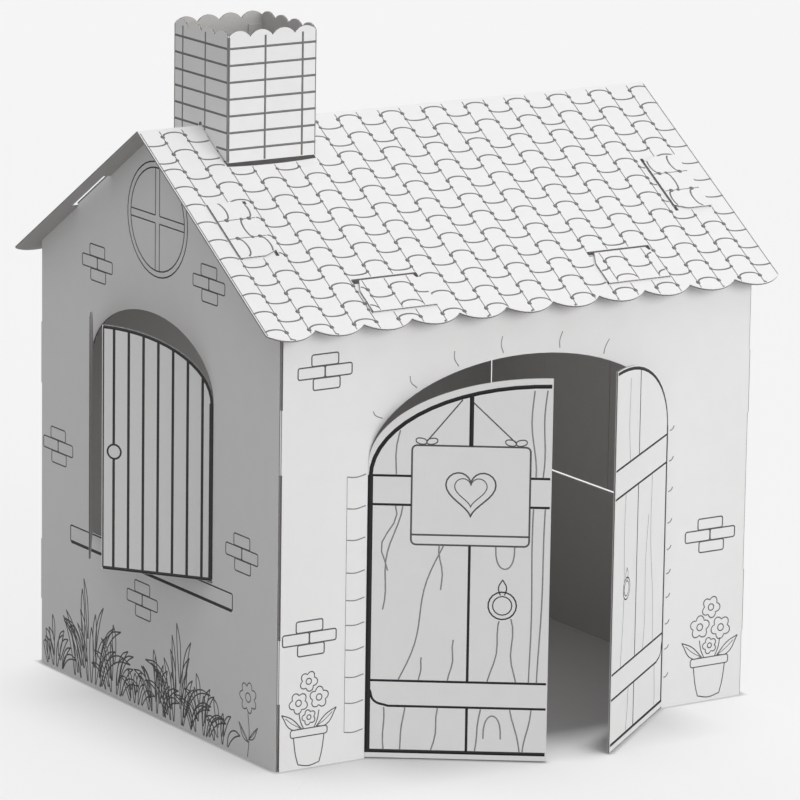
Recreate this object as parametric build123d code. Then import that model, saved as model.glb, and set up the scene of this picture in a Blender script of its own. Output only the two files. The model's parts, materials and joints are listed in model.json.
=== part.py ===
"""A child's colouring playhouse, cut and folded from single-wall corrugated board.

Frame: X runs along the ridge, the door wall faces -Y and +Z is up.  The origin is the
middle of the wall footprint, on the floor.  All lengths are in millimetres.

Pieces: one wall sheet wrapped round four corners, one roof sheet folded at the ridge,
one chimney sheet folded to a square tube, and six leaves that swing on their creases.
"""
import os
from math import cos, radians, sin, tan

from build123d import *

# Driving dimensions: the board and the house
board = 3.0                  # board thickness
width = 850.0                # wall to wall along the ridge
depth = 710.0                # wall to wall across the ridge
eave_height = 676.0          # top of the front and back walls
pitch = 33.0                 # roof slope in degrees
gable_overhang = 36.0        # roof past each gable
eave_overhang = 29.0         # roof past the front and back walls, to the tip of a lobe
eave_lobes = 11              # scallops along each eave
eave_lobe_depth = 16.0

# Corner creases: each is cut right through except for two bridges
corner_cut = 4.0             # side of the square notch that the cut leaves
bridge_length = 97.0
lower_bridge = 104.0         # floor to the lower bridge
top_cut = 127.0              # upper bridge to the eave
lap_width = 40.0             # glued lap inside the back left corner
lap_inset = 25.0             # lap shorter than the wall at each end

# Doorway in the front wall, and the window in each gable
door_half_width = 272.0
door_spring = 450.0          # floor to the foot of the arch
door_rise = 138.0            # height of the arch
window_half_width = 182.0
window_offset = 15.0         # middle of the gable to the middle of its window, towards the back
window_sill = 246.0
window_spring = 520.0
window_rise = 107.0

# Leaves: cut clearances, and the angle at which each one stands open, in degrees
kerf = 1.0                   # along the cut edges
sill_gap = 3.5               # under a shutter
crease_gap = 0.3             # along the crease
floor_clearance = 2.0        # under a door leaf
left_door_angle = 35.0
right_door_angle = 38.0
left_gable_front_angle = 36.0
left_gable_back_angle = 31.0

# Tabs on the wall tops: up through a slot, flat on the roof, end tucked through a slit
tab_reach = 65.0             # crease to the tucked end
tab_taper = 22.0             # length over which the tab narrows towards that end
tab_narrowing = 9.0          # on each side
tab_tuck = 12.0              # tucked end, down from the roof's outer face
slot_play = 1.5              # at each end of a slot or slit
slit_play = 1.0              # between a board and the edge of its cut
gable_slit_open = 2.0        # slit left open past the tucked end of a gable's tab
wall_slit_open = 6.5         # the same for a front or back tab
front_slot_open = 1.5        # slot left open outside a gable, on the front slope
back_slot_open = 13.0        # the same on the back slope, where the slot gapes
wall_slot_open = 1.0         # slot left open outside the front or back wall
gable_tab_start = 168.0      # down the slope from the ridge
gable_tab_width = 116.0
wall_tab_width = 112.0
wall_tab_offset = 211.0      # middle of the wall to the middle of a tab

# Chimney
chimney_width = 156.0        # square in plan
chimney_inset = 152.0        # gable to the middle of the chimney
chimney_rise = 142.0         # ridge to the foot of the scallops round the rim
chimney_lobes = 4            # scallops on each face
chimney_lobe_height = 10.0
chimney_lap = 25.0           # glued lap inside the back right corner
chimney_lap_inset = 10.0     # lap shorter than the tube at each end
notch_pitch = 30.5           # notch that sits on the ridge, a little flatter than the roof
notch_relief = 5.0           # radius of the hole at the top of the notch
tongue_width = 26.0          # two tongues below each notched face
tongue_offset = 36.0         # ridge to the middle of a tongue
tongue_drop = 12.0           # end of a tongue, down from the roof's outer face
gap_inside = 8.0             # gap in the roof at the front and back faces, inside the face
gap_bow = 2.5                # the same gap, bowed open outside the face
chimney_fold_radius = 2.0

# Worked out from those
half_w = width / 2
half_d = depth / 2
half_c = chimney_width / 2
rise = tan(radians(pitch))
run_cos = cos(radians(pitch))
run_sin = sin(radians(pitch))
upper_bridge = eave_height - top_cut - bridge_length
ridge_under = eave_height + half_d * rise
ridge_top = ridge_under + board / run_cos
roof_length = width + 2 * gable_overhang
slope_length = (half_d + eave_overhang) / run_cos
chimney_x = chimney_inset - half_w
chimney_top = ridge_top + chimney_rise
notch_rise = tan(radians(notch_pitch))
notch_top = ridge_top - board / run_cos + board / cos(radians(notch_pitch))  # rests on the round fold
notch_foot = notch_top - half_c * notch_rise
tongue_foot = ridge_top - (tongue_offset + tongue_width / 2) * rise - tongue_drop
clear = 2 * board            # how far a cutter runs past the board

# Wall planes lie on the inner faces and look outward, local X to the right, local Y up
front_plane = Plane((0, board - half_d, 0), x_dir=(1, 0, 0), z_dir=(0, -1, 0))
back_plane = Plane((0, half_d - board, 0), x_dir=(-1, 0, 0), z_dir=(0, 1, 0))
left_plane = Plane((board - half_w, 0, 0), x_dir=(0, -1, 0), z_dir=(-1, 0, 0))
right_plane = Plane((half_w - board, 0, 0), x_dir=(0, 1, 0), z_dir=(1, 0, 0))
left_window_plane = Plane((board - half_w, window_offset, 0), x_dir=(0, -1, 0), z_dir=(-1, 0, 0))
right_window_plane = Plane((half_w - board, window_offset, 0), x_dir=(0, 1, 0), z_dir=(1, 0, 0))

# Slope planes lie on the roof's underside, local Y up the slope to zero at the ridge
front_slope = Plane((0, 0, ridge_under), x_dir=(1, 0, 0), z_dir=(0, -run_sin, run_cos))
back_slope = Plane((0, 0, ridge_under), x_dir=(-1, 0, 0), z_dir=(0, run_sin, run_cos))


def span(x0, x1, y0, y1, z0, z1):
    """A box given by its two limits on each axis."""
    return Pos((x0 + x1) / 2, (y0 + y1) / 2, (z0 + z1) / 2) * Box(x1 - x0, y1 - y0, z1 - z0)


def sheet(plane, face):
    """A flat piece of board: a face drawn on a plane, raised by the board's thickness."""
    return extrude(plane * face, amount=board, dir=plane.z_dir)


def arch(half_width, bottom, spring, arch_rise):
    """An upright opening with straight sides and half an ellipse on top."""
    sides = Pos(0, (bottom + spring) / 2) * Rectangle(2 * half_width, spring - bottom)
    return sides + Pos(0, spring) * Ellipse(half_width, arch_rise)


def scalloped(half_width, bottom, top, lobes, height):
    """A rectangle whose upper edge is a row of equal round lobes."""
    lobe = 2 * half_width / lobes
    outline = [Polyline((-half_width, top), (-half_width, bottom), (half_width, bottom), (half_width, top))]
    for i in range(lobes):
        x = half_width - i * lobe
        outline.append(ThreePointArc((x, top), (x - lobe / 2, top + height), (x - lobe, top)))
    return make_face(outline)


# Tabs, in a frame of their own: X across, Y from the crease to the tucked end, and Z out
# of the roof from its underside
def tab(tab_width):
    """The part that lies flat on the roof, with its end bent down."""
    half = tab_width / 2
    end_half = half - tab_narrowing
    outline = Polyline(
        (-half, 0),
        (half, 0),
        (half, tab_reach - tab_taper),
        (end_half, tab_reach),
        (-end_half, tab_reach),
        (-half, tab_reach - tab_taper),
        close=True,
    )
    flat = Pos(0, 0, board) * extrude(make_face(outline), amount=board)
    return flat + span(-end_half, end_half, tab_reach - board, tab_reach, board - tab_tuck, 2 * board)


def tab_slit(tab_width, slit_open):
    """The slit in the roof for the tucked end."""
    half = tab_width / 2 + slot_play
    return span(-half, half, tab_reach - board - slit_play, tab_reach + slit_open, -clear, clear)


def gable_neck():
    """The part of a gable that comes up through the roof to the tab."""
    half = gable_tab_width / 2
    return span(-half, half, 0, board, -board, 2 * board)


def gable_slot(slot_open):
    """The slot in the roof over a gable."""
    half = gable_tab_width / 2 + slot_play
    return span(-half, half, -slot_open, board + slit_play, -clear, clear)


def wall_neck(x):
    """The part of the front wall that comes up through the roof, in house axes."""
    low = eave_height - board
    high = eave_height + 2 * board / run_cos
    profile = Polyline(
        (-half_d, low),
        (board - half_d, low),
        (board - half_d, high + board * rise),
        (-half_d, high),
        close=True,
    )
    start = Plane.YZ.offset(x - wall_tab_width / 2)
    return extrude(start * make_face(profile), amount=wall_tab_width, dir=(1, 0, 0))


def wall_slot(x):
    """The slot in the roof over the front wall, in house axes."""
    half = wall_tab_width / 2 + slot_play
    outside = -half_d - wall_slot_open
    inside = board - half_d + slit_play
    return span(x - half, x + half, outside, inside, eave_height - 2 * clear, eave_height + 2 * clear)


def tongue_slots():
    """The slots in the front slope for the chimney's tongues, with the chimney's middle at zero."""
    half = tongue_width / 2 + slot_play
    outer = half_c + slit_play
    inner = half_c - board - slit_play
    slot = span(inner, outer, -tongue_offset - half, half - tongue_offset, eave_height, ridge_top)
    return slot + mirror(slot, Plane.YZ)


def foot_gap():
    """The gap in the front slope below the chimney's front face, with the chimney's middle at zero."""
    outside = -half_c - slit_play
    inside = board + gap_inside - half_c
    outline = make_face(
        [
            ThreePointArc((-half_c, outside), (0, outside - gap_bow), (half_c, outside)),
            Polyline((half_c, outside), (half_c, inside), (-half_c, inside), (-half_c, outside)),
        ]
    )
    return Pos(0, 0, eave_height) * extrude(outline, amount=ridge_top - eave_height)


gable_tab_middle = gable_tab_start + gable_tab_width / 2
gable_tabs = [
    (plane.location * Pos(side * half_w, -gable_tab_middle) * Rot(0, 0, 90 * side), slot_open)
    for plane, slot_open in ((front_slope, front_slot_open), (back_slope, back_slot_open))
    for side in (-1, 1)
]
crease_line = (board * run_sin - half_d) / run_cos      # where a wall's outer face leaves the roof
wall_tab_places = [
    plane.location * Pos(x, crease_line)
    for plane in (front_slope, back_slope)
    for x in (-wall_tab_offset, wall_tab_offset)
]
wall_turns = [(x, turn) for turn in (0, 180) for x in (-wall_tab_offset, wall_tab_offset)]


# Wall sheet
def make_walls():
    """Front, back and two gables round one sheet, with creased corners, tabs and a lap."""
    doorway = arch(door_half_width, 0, door_spring, door_rise)
    window = arch(window_half_width, window_sill, window_spring, window_rise)
    long_wall = Pos(0, eave_height / 2) * Rectangle(width, eave_height)
    gable = make_face(
        Polyline(
            (-half_d, 0),
            (half_d, 0),
            (half_d, eave_height),
            (0, ridge_under),
            (-half_d, eave_height),
            close=True,
        )
    )
    walls = sheet(front_plane, long_wall - doorway) + sheet(back_plane, long_wall)
    walls += sheet(left_plane, gable - Pos(-window_offset, 0) * window)
    walls += sheet(right_plane, gable - Pos(window_offset, 0) * window)

    upright = walls.edges().filter_by(Axis.Z)
    corners = [
        e
        for e in upright
        if abs(e.center().X) > half_w - board / 2 and abs(e.center().Y) > half_d - board / 2
    ]
    walls = fillet(corners, 0.97 * board)
    cuts = (
        (-clear, lower_bridge),
        (lower_bridge + bridge_length, upper_bridge),
        (upper_bridge + bridge_length, eave_height + clear),
    )
    for x in (-half_w, half_w):
        for y in (-half_d, half_d):
            for low, high in cuts:
                walls -= Pos(x, y, (low + high) / 2) * Box(2 * corner_cut, 2 * corner_cut, high - low)

    for place, _ in gable_tabs:
        walls += place * (tab(gable_tab_width) + gable_neck())
    for place in wall_tab_places:
        walls += place * tab(wall_tab_width)
    for x, turn in wall_turns:
        walls += Rot(0, 0, turn) * wall_neck(x)

    inner = half_d - board
    walls += span(
        board - half_w, 2 * board - half_w, inner - lap_width, inner, lap_inset, eave_height - lap_inset
    )
    return walls


# Roof sheet
def make_roof():
    """One sheet folded at the ridge, with scalloped eaves and the cuts for tabs and chimney."""
    eave_y = slope_length * run_cos
    eave_z = ridge_under - slope_length * run_sin
    lip_y = eave_y + board * run_sin
    lip_z = eave_z + board * run_cos
    profile = Polyline(
        (0, ridge_top),
        (-lip_y, lip_z),
        (-eave_y, eave_z),
        (0, ridge_under),
        (eave_y, eave_z),
        (lip_y, lip_z),
        close=True,
    )
    roof = extrude(Plane.YZ.offset(-roof_length / 2) * make_face(profile), amount=roof_length, dir=(1, 0, 0))
    roof = fillet(roof.edges().filter_by(Axis.X).sort_by(Axis.Z)[-1], board)

    lobe_foot = eave_lobe_depth - slope_length
    lobes = mirror(scalloped(roof_length / 2, -eave_lobe_depth, 0, eave_lobes, eave_lobe_depth), Plane.XZ)
    strip = Pos(0, -eave_lobe_depth) * Rectangle(roof_length + clear, 2 * eave_lobe_depth)
    waste = Pos(0, lobe_foot) * (strip - lobes)
    for plane in (front_slope, back_slope):
        roof -= extrude(plane.offset(-clear) * waste, amount=board + 2 * clear, dir=plane.z_dir)

    for place, slot_open in gable_tabs:
        roof -= place * (tab_slit(gable_tab_width, gable_slit_open) + gable_slot(slot_open))
    for place in wall_tab_places:
        roof -= place * tab_slit(wall_tab_width, wall_slit_open)
    for x, turn in wall_turns:
        roof -= Rot(0, 0, turn) * wall_slot(x)

    for turn in (0, 180):
        roof -= Pos(chimney_x, 0) * Rot(0, 0, turn) * (tongue_slots() + foot_gap())
    return roof


# Chimney sheet
def make_chimney():
    """A square tube with a scalloped rim: two faces sit astride the ridge and have tongues."""
    across = scalloped(half_c, notch_foot, chimney_top, chimney_lobes, chimney_lobe_height)
    notch = make_face(Polyline((-half_c, notch_foot), (half_c, notch_foot), (0, notch_top), close=True))
    tongue = Pos(0, (notch_top + tongue_foot) / 2) * Rectangle(tongue_width, notch_top - tongue_foot)
    astride = across - notch - Pos(0, notch_top) * Circle(notch_relief)
    astride += Pos(-tongue_offset, 0) * tongue + Pos(tongue_offset, 0) * tongue
    tube = Part()
    for y in (-half_c, half_c - board):
        tube += sheet(Plane((chimney_x, y, 0), x_dir=(-1, 0, 0), z_dir=(0, 1, 0)), across)
    for x in (chimney_x - half_c, chimney_x + half_c - board):
        tube += sheet(Plane((x, 0, 0), x_dir=(0, 1, 0), z_dir=(1, 0, 0)), astride)
    upright = tube.edges().filter_by(Axis.Z)
    folds = [
        e
        for e in upright
        if abs(e.center().X - chimney_x) > half_c - board / 2 and abs(e.center().Y) > half_c - board / 2
    ]
    tube = fillet(folds, chimney_fold_radius)
    inner = half_c - board
    tube += span(
        chimney_x + inner - chimney_lap,
        chimney_x + inner,
        inner - board,
        inner,
        notch_foot + chimney_lap_inset,
        chimney_top - chimney_lap_inset,
    )
    return tube


# Leaves: drawn shut in the wall, then swung out about the crease on the wall's outer face
def make_leaf(plane, shape, side, opening):
    """Half of an arched shape; side is the sign of its crease along the plane's X."""
    half_width, bottom, spring, arch_rise = shape
    whole = arch(half_width - crease_gap, bottom, spring, arch_rise - kerf)
    height = spring + arch_rise
    half = Pos(side * (half_width + kerf) / 2, height / 2) * Rectangle(half_width, height)
    shut = sheet(plane, whole & half)
    crease = plane.offset(board).from_local_coords((side * half_width, 0, 0))
    return shut.rotate(Axis(crease, (0, 0, 1)), side * opening)


door = (door_half_width, floor_clearance, door_spring, door_rise)
window = (window_half_width, window_sill + sill_gap, window_spring, window_rise)

parts = {
    "walls": make_walls(),
    "roof": make_roof(),
    "chimney": make_chimney(),
    "left_door": make_leaf(front_plane, door, -1, left_door_angle),
    "right_door": make_leaf(front_plane, door, 1, right_door_angle),
    "left_gable_front_shutter": make_leaf(left_window_plane, window, 1, left_gable_front_angle),
    "left_gable_back_shutter": make_leaf(left_window_plane, window, -1, left_gable_back_angle),
    "right_gable_front_shutter": make_leaf(right_window_plane, window, -1, 0),
    "right_gable_back_shutter": make_leaf(right_window_plane, window, 1, 0),
}

os.makedirs("parts", exist_ok=True)
for name, part in parts.items():
    export_step(part, f"parts/{name}.step")
    box = part.bounding_box()
    print(f"{name}: {len(part.solids())} solid, volume {part.volume:.0f} mm3, size {box.size}")
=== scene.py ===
# %% [markdown]
# A playhouse of white lined corrugated board, printed with outlines for a child to colour in. The
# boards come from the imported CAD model, which fixes every size and place. This lesson gives the
# boards their paper and their cut edges, prints the lines on them, and sets the light and camera.

# %% Load the frame
import json
import random
from math import ceil, cos, dist, pi, radians, sin, sqrt

import bmesh
import bpy
from mathutils import Matrix, Vector


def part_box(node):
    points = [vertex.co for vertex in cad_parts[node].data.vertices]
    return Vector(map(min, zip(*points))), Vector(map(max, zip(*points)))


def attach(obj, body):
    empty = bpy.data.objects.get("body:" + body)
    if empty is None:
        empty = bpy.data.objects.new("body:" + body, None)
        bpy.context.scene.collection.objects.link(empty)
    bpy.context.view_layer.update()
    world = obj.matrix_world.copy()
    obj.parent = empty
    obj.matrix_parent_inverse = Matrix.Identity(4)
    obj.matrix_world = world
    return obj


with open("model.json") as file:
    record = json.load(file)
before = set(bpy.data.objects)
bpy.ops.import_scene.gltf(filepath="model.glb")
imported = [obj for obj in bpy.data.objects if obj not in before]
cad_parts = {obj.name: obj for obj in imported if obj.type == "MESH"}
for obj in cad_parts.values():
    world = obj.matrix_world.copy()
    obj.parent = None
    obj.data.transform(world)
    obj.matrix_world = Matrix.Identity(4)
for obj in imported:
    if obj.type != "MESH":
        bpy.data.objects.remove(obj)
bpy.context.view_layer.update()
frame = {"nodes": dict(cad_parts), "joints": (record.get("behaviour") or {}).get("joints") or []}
mm = 0.001
print("boards:", sorted(frame["nodes"]))

# %% [markdown]
# The drawing needs a few sizes of the house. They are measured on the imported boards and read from
# the creases, in millimetres, so that a print can never drift away from the board that carries it.

# %% Measure the house
creases = {joint["child"]: joint for joint in frame["joints"]}
half_width = creases["right_gable_front_shutter"]["pos_m"][0] / mm
half_depth = -creases["left_door"]["pos_m"][1] / mm
door_half = creases["right_door"]["pos_m"][0] / mm
window_front = creases["right_gable_front_shutter"]["pos_m"][1] / mm
window_back = creases["right_gable_back_shutter"]["pos_m"][1] / mm
window_half = (window_back - window_front) / 2
shut_low, shut_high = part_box("right_gable_front_shutter")
board = (shut_high.x - shut_low.x) / mm
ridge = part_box("walls")[1].z / mm
roof_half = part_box("roof")[1].x / mm
chimney_low, chimney_high = (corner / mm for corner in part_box("chimney"))
chimney_middle = (chimney_low + chimney_high) / 2
chimney_half = (chimney_high.x - chimney_low.x) / 2
pitch = radians(33)
print(f"walls {2 * half_width:.0f} by {2 * half_depth:.0f} mm, ridge {ridge:.0f} mm, board {board:.1f} mm")

# %% [markdown]
# Shader maths reads best as plain sums. A small class wraps a node's output, and each operator on it
# adds a Math node. A second class holds the node tree, and its one method adds any other node: first
# the settings, then the values or links of its sockets.


# %% Wiring for the finishes
class Wire:
    """One output of a shader node: arithmetic on it adds Math nodes."""

    def __init__(self, wiring, output):
        self.wiring = wiring
        self.output = output

    def calc(self, operation, first, second=0.0):
        return self.wiring.node("Math", {"operation": operation}, {0: first, 1: second})

    def __add__(self, other):
        return self.calc("ADD", self, other)

    def __sub__(self, other):
        return self.calc("SUBTRACT", self, other)

    def __rsub__(self, other):
        return self.calc("SUBTRACT", other, self)

    def __mul__(self, other):
        return self.calc("MULTIPLY", self, other)

    def __truediv__(self, other):
        return self.calc("DIVIDE", self, other)

    def __gt__(self, other):
        return self.calc("GREATER_THAN", self, other)

    def __lt__(self, other):
        return self.calc("LESS_THAN", self, other)

    def __abs__(self):
        return self.calc("ABSOLUTE", self)

    def either(self, other):
        return self.calc("MAXIMUM", self, other)

    __radd__ = __add__
    __rmul__ = __mul__


class Wiring:
    """The node tree of a material or of the world."""

    def __init__(self, owner):
        owner.use_nodes = True
        self.tree = owner.node_tree

    def feed(self, socket, value):
        if isinstance(value, Wire):
            self.tree.links.new(value.output, socket)
        else:
            socket.default_value = value

    def node(self, kind, settings, inputs, output=0):
        made = self.tree.nodes.new("ShaderNode" + kind)
        for name, value in settings.items():
            setattr(made, name, value)
        for name, value in inputs.items():
            self.feed(made.inputs[name], value)
        return Wire(self, made.outputs[output])

    def mix(self, factor, first, second):
        """A blend of two colours."""
        return self.node("Mix", {"data_type": "RGBA"}, {0: factor, 6: first, 7: second}, 2)

    def noise(self, place, scale, detail=3.0):
        return self.node("TexNoise", {}, {"Vector": place, "Scale": scale, "Detail": detail})


def grey(level, warmth=0.0):
    """A paper or ink colour: a grey that leans to yellow by the warmth."""
    return (level, level * (1 - warmth / 2), level * (1 - warmth), 1.0)


# %% [markdown]
# The board is two liners with a fluted sheet between them. The outer liner is white, the inner one is
# plain light grey paper, and a cut edge shows the waves of the flutes. All boards are single
# solids, so the finish asks how deep a point lies below the outer face: at no depth it is white, at
# full depth it is the grey liner, and in between it can only be a cut edge. Each board answers with
# its own sum on Object coordinates.

# %% Depth below an outer face
liner = 0.35
ridge_round = 0.3
print(f"liners {liner} mm of {board:.1f} mm")


def within(depth):
    """One on a cut edge, nought on either liner."""
    return (depth > liner) * (depth < board - liner)


def over_roof(y, z):
    """Distance out from the underside of the nearer roof slope."""
    return (z - ridge) * cos(pitch) + abs(y) * sin(pitch)


def tube_depth(x, y, half_x, half_y):
    """Depth in four upright walls round a rectangle, with their corners counted as outside."""
    depth_x = half_x - abs(x)
    depth_y = half_y - abs(y)
    in_x = within(depth_x)
    in_y = within(depth_y)
    cut = in_x + in_y - 2 * in_x * in_y
    outside = (depth_x < liner).either(depth_y < liner).either(in_x * in_y)
    return cut, outside, in_x * depth_x + in_y * depth_y


# %% Depth in walls, roof and chimney
def walls_depth(x, y, z):
    cut, outside, depth = tube_depth(x, y, half_width, half_depth)
    tab_depth = 2 * board - over_roof(y, z)
    on_tab = within(tab_depth)
    outside = outside.either(tab_depth < liner)
    return cut.either(on_tab) * (1 - (tab_depth < liner)), outside, depth + on_tab * tab_depth, x + y


def roof_depth(x, y, z):
    depth = board - over_roof(y, z)
    cut = (depth > liner + ridge_round) * (depth < board - liner)
    return cut, depth < liner + ridge_round, depth, x


def chimney_depth(x, y, z):
    cut, outside, depth = tube_depth(x - chimney_middle.x, y, chimney_half, chimney_half)
    return cut, outside, depth, x + y


# %% [markdown]
# A leaf stands open, so its depth is measured square to the leaf. Each crease in the record gives the
# place of the fold and how far the leaf is open, and from that comes the leaf's own direction.

# %% Where each leaf stands
shut_direction = {
    "left_door": Vector((1, 0, 0)),
    "right_door": Vector((-1, 0, 0)),
    "left_gable_front_shutter": Vector((0, 1, 0)),
    "left_gable_back_shutter": Vector((0, -1, 0)),
    "right_gable_front_shutter": Vector((0, 1, 0)),
    "right_gable_back_shutter": Vector((0, -1, 0)),
}


def leaf_stand(name):
    """A leaf's crease, the way from the crease to the free edge, and the way its print faces."""
    crease = creases[name]
    opening = radians(-crease["range_deg"][0])
    swing = Matrix.Rotation(opening, 3, Vector(crease["axis"]))
    away = swing @ shut_direction[name]
    hinge_side = crease["axis"][2]
    return Vector(crease["pos_m"]) / mm, away, away.cross(Vector((0, 0, -hinge_side)))


def leaf_depth(name):
    crease, away, face = leaf_stand(name)

    def depth_of(x, y, z):
        depth = crease.dot(face) - (x * face.x + y * face.y)
        along = x * away.x + y * away.y
        return within(depth), depth < liner, depth, along

    return depth_of


for name in shut_direction:
    print(name, "faces", [round(part, 2) for part in leaf_stand(name)[2]])

# %% [markdown]
# White clay-coated liner isn't quite even: fibres show as a faint mottle, the flutes print through as
# very shallow stripes, and a large board is never dead flat. These go into colour, roughness and one
# Bump node. The grey liner is rougher and flecked, and the flutes on a cut edge are a sine wave of
# paper with shadow on both sides.

# %% The board's finish
flute_pitch = 7.0
flute_show = 0.010
fibre_show = 0.02
sag_depth = 2.5
paper_half = 0.3


def board_finish(name, depth_of):
    finish = bpy.data.materials.new(name)
    wiring = Wiring(finish)
    place = wiring.node("TexCoord", {}, {}, "Object")
    x, y, z = (wiring.node("SeparateXYZ", {}, {0: place}, axis) / mm for axis in "XYZ")
    cut, outside, depth, along = depth_of(x, y, z)

    fibre = wiring.noise(place, 900.0)
    mottle = wiring.noise(place, 30.0)
    sag = wiring.noise(place, 2.2, 1.0)
    fleck = wiring.noise(place, 420.0, 2.0) > 0.66

    white = wiring.mix(mottle * 0.7 + fibre * 0.3, grey(0.86, 0.012), grey(0.91, 0.004))
    plain = wiring.mix(fibre * 0.6 + mottle * 0.4, grey(0.52, 0.05), grey(0.62, 0.04))
    plain = wiring.mix(fleck * 0.5, plain, grey(0.42, 0.08))
    wave = wiring.node("Math", {"operation": "SINE"}, {0: along * (2 * pi / flute_pitch)})
    paper = abs(depth - board / 2 - wave * (board / 2 - liner - 0.25)) < paper_half
    edge = wiring.mix(paper, grey(0.16, 0.08), grey(0.62, 0.07))

    colour = wiring.mix(outside, plain, white)
    colour = wiring.mix(cut, colour, edge)
    stripes = wave * flute_show * (1 - cut)
    height = sag * sag_depth + stripes + fibre * fibre_show + paper * cut * paper_half
    normal = wiring.node("Bump", {}, {"Strength": 1.0, "Distance": mm, "Height": height})
    shader = wiring.tree.nodes["Principled BSDF"]
    shader.inputs["Specular IOR Level"].default_value = 0.35
    wiring.feed(shader.inputs["Base Color"], colour)
    wiring.feed(shader.inputs["Roughness"], 0.62 + mottle * 0.1 + (1 - outside) * 0.16)
    wiring.feed(shader.inputs["Normal"], normal)
    return finish


def dress(name, finish):
    """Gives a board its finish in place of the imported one."""
    held = frame["nodes"][name].data.materials
    held.clear()
    held.append(finish)


dress("walls", board_finish("wall_board", walls_depth))
dress("roof", board_finish("roof_board", roof_depth))
dress("chimney", board_finish("chimney_board", chimney_depth))
for name in shut_direction:
    dress(name, board_finish(f"{name}_board", leaf_depth(name)))
print("finishes:", len(bpy.data.materials))

# %% [markdown]
# The print is black ink, laid down before the boards were cut and folded. An image would blur when
# seen close, and lines worked out in a shader are hard to draw with. Curves suit it best: each stroke
# is a spline with a round bevel, turned into a mesh and pressed almost flat on the board.


# %% The inks
def ink_finish(name, level):
    finish = bpy.data.materials.new(name)
    wiring = Wiring(finish)
    place = wiring.node("TexCoord", {}, {}, "Object")
    cover = wiring.noise(place, 260.0)
    shader = wiring.tree.nodes["Principled BSDF"]
    shader.inputs["Specular IOR Level"].default_value = 0.3
    wiring.feed(shader.inputs["Base Color"], wiring.mix(cover, grey(level * 0.7), grey(level * 1.3)))
    wiring.feed(shader.inputs["Roughness"], 0.5 + cover * 0.2)
    return finish


bold_ink = ink_finish("bold_ink", 0.02)
fine_ink = ink_finish("fine_ink", 0.06)
soft_ink = ink_finish("soft_ink", 0.11)
grey_ink = ink_finish("grey_ink", 0.21)
pale_ink = ink_finish("pale_ink", 0.30)
print("inks:", [ink.name for ink in (bold_ink, fine_ink, soft_ink, grey_ink, pale_ink)])

# %% [markdown]
# A panel is a flat sheet to draw on, with millimetres across and up, laid on a face of the board. The
# walls' panels start at the floor, the roof's at the ridge, and a leaf's at the foot of its crease.


# %% Panels
def panel(start, across, up):
    """The place of a drawing sheet, face outwards."""
    turn = Matrix((across, up, across.cross(up))).transposed().to_4x4()
    return Matrix.Translation(start * mm) @ turn @ Matrix.Scale(mm, 4)


upward = Vector((0, 0, 1))
rightward = Vector((1, 0, 0))
backward = Vector((0, 1, 0))
front_panel = panel(Vector((0, -half_depth, 0)), rightward, upward)
back_panel = panel(Vector((0, half_depth, 0)), -rightward, upward)
left_panel = panel(Vector((-half_width, 0, 0)), -backward, upward)
right_panel = panel(Vector((half_width, 0, 0)), backward, upward)


# %% Panels on slopes and leaves
ridge_point = Vector((0, 0, ridge))


def slope_panel(front, layers):
    """A sheet on a roof slope, that many boards above its underside, with nought at the ridge."""
    across = rightward * front
    up_slope = Vector((0, cos(pitch) * front, sin(pitch)))
    return panel(ridge_point + across.cross(up_slope) * board * layers, across, up_slope)


def leaf_panel(name):
    """A sheet on a leaf, and a function that lays a distance from its crease and a height on it."""
    crease, away, face = leaf_stand(name)
    across = upward.cross(face)
    way = round(away.dot(across))

    def lay(a, v):
        return (way * a, v)

    return panel(Vector((crease.x, crease.y, 0)), across, upward), lay


print("front slope's sheet starts at", [round(part, 4) for part in slope_panel(1, 1).translation])

# %% [markdown]
# Lines that run behind something else are trimmed before they are drawn. A line could be cut at known
# outlines, but here a test says where ink may lie, whatever bounds it, and the end of each stretch is
# found by halving.


# %% Trimming lines
def stretch(points, step=9.0):
    """The same line with a point at least every step."""
    line = [points[0]]
    for (u0, v0), (u1, v1) in zip(points, points[1:]):
        count = max(1, ceil(dist((u0, v0), (u1, v1)) / step))
        for i in range(1, count + 1):
            line.append((u0 + (u1 - u0) * i / count, v0 + (v1 - v0) * i / count))
    return line


def crossing(inside, outside, keep):
    """The point between two others where keep stops being true."""
    for _ in range(9):
        middle = ((inside[0] + outside[0]) / 2, (inside[1] + outside[1]) / 2)
        if keep(*middle):
            inside = middle
        else:
            outside = middle
    return inside


def trimmed(points, keep):
    """The stretches of a line that lie where keep is true."""
    runs = []
    run = []
    for before, after in zip(points, points[1:]):
        here, there = keep(*before), keep(*after)
        if here and not run:
            run = [before]
        if here and there:
            run.append(after)
        elif here:
            runs.append(run + [crossing(before, after, keep)])
            run = []
        elif there:
            run = [crossing(after, before, keep), after]
    return [line for line in runs + [run] if len(line) > 1]


print("a line of 10 mm trimmed at 5 mm:", trimmed([(0, 0), (10, 0)], lambda u, v: u < 5))

# %% [markdown]
# The pen draws on one panel. Straight runs and worked-out shapes are poly splines, and free shapes are
# Bezier splines through a few points. The bevel makes each spline a round bar, whose radius is half
# the width of the stroke, and the press flattens the bars to a thin layer of ink.

# %% The pen
ink_relief = 0.06


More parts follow.
